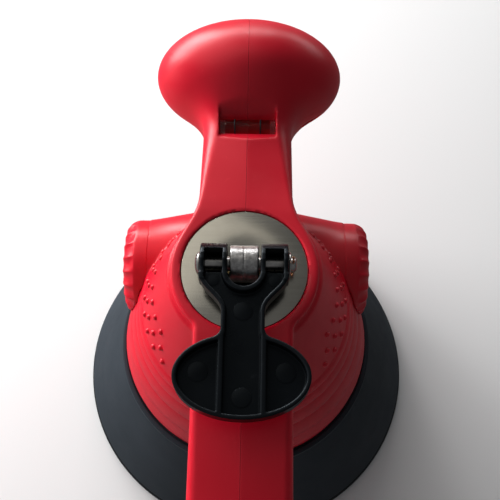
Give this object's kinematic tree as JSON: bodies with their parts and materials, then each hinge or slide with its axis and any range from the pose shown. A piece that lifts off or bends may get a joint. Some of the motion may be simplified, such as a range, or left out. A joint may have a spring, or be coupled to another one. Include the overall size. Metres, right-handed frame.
{
  "type": "vacuum suction cup lifter",
  "caption": "Hand vacuum lifter: round rubber pad under a tall red two-piece handle with a palm knob, drawn up by a black flip lever on a steel disc.",
  "frame": {"origin": "on the pad's sealing plane, on the axis of the cup", "axes": "+Z along the cup's axis away from the surface it holds, +Y along the handle towards the palm knob, +X along the lever pin"},
  "size_m": [0.15, 0.2162, 0.1461],
  "materials": {
    "red_plastic": "satin moulded, fine spark texture",
    "black_plastic": "satin moulded",
    "pad_rubber": "smooth moulded rubber",
    "zinc_steel": "zinc plated",
    "cast_steel": "as cast, mould line down the middle",
    "disc_steel": "finely brushed, near mirror",
    "bush_brass": "turned",
    "copper": "copper-coated wire",
    "vial_glass": "clear",
    "vial_spirit": "tinted spirit",
    "vial_mark": "painted"
  },
  "bodies": {
    "handle": {"shell_left": "red_plastic", "shell_right": "red_plastic", "side_grip_left": "red_plastic", "side_grip_right": "red_plastic", "shell_screw_1": "zinc_steel", "shell_screw_2": "zinc_steel", "shell_screw_3": "zinc_steel", "shell_screw_4": "zinc_steel", "shell_screw_5": "zinc_steel", "skirt": "black_plastic", "skirt_screw_1": "zinc_steel", "skirt_screw_2": "zinc_steel", "skirt_screw_3": "zinc_steel", "skirt_screw_4": "zinc_steel", "suction_pad": "pad_rubber", "return_spring": "zinc_steel", "guide_bush": "bush_brass", "cover_disc": "disc_steel", "vial_tube": "vial_glass", "vial_fluid": "vial_spirit", "vial_plug_left": "vial_glass", "vial_plug_right": "vial_glass", "vial_line_left": "vial_mark", "vial_line_right": "vial_mark"},
    "rod": {"draw_rod": "cast_steel", "rod_nut": "zinc_steel", "spring_seat": "zinc_steel", "pad_plate": "zinc_steel", "pad_core": "pad_rubber", "lever_pin": "zinc_steel", "pin_washer": "zinc_steel", "cotter_pin": "copper"},
    "lever": {"cam_lever": "black_plastic"}
  },
  "joints": [
    {"name": "rod_slide", "type": "slide", "parent": "handle", "child": "rod", "axis": [0, 0, 1], "range_m": [0, 0.00399], "deforming": ["return_spring"]},
    {"name": "lever_hinge", "type": "hinge", "parent": "rod", "child": "lever", "pos_m": [0, 0, 0.1377], "axis": [-1, 0, 0], "range_deg": [0, 180]}
  ],
  "couplings": [
    {"joint": "lever_hinge", "follows": "rod_slide", "rad_per_m": 787}
  ]
}
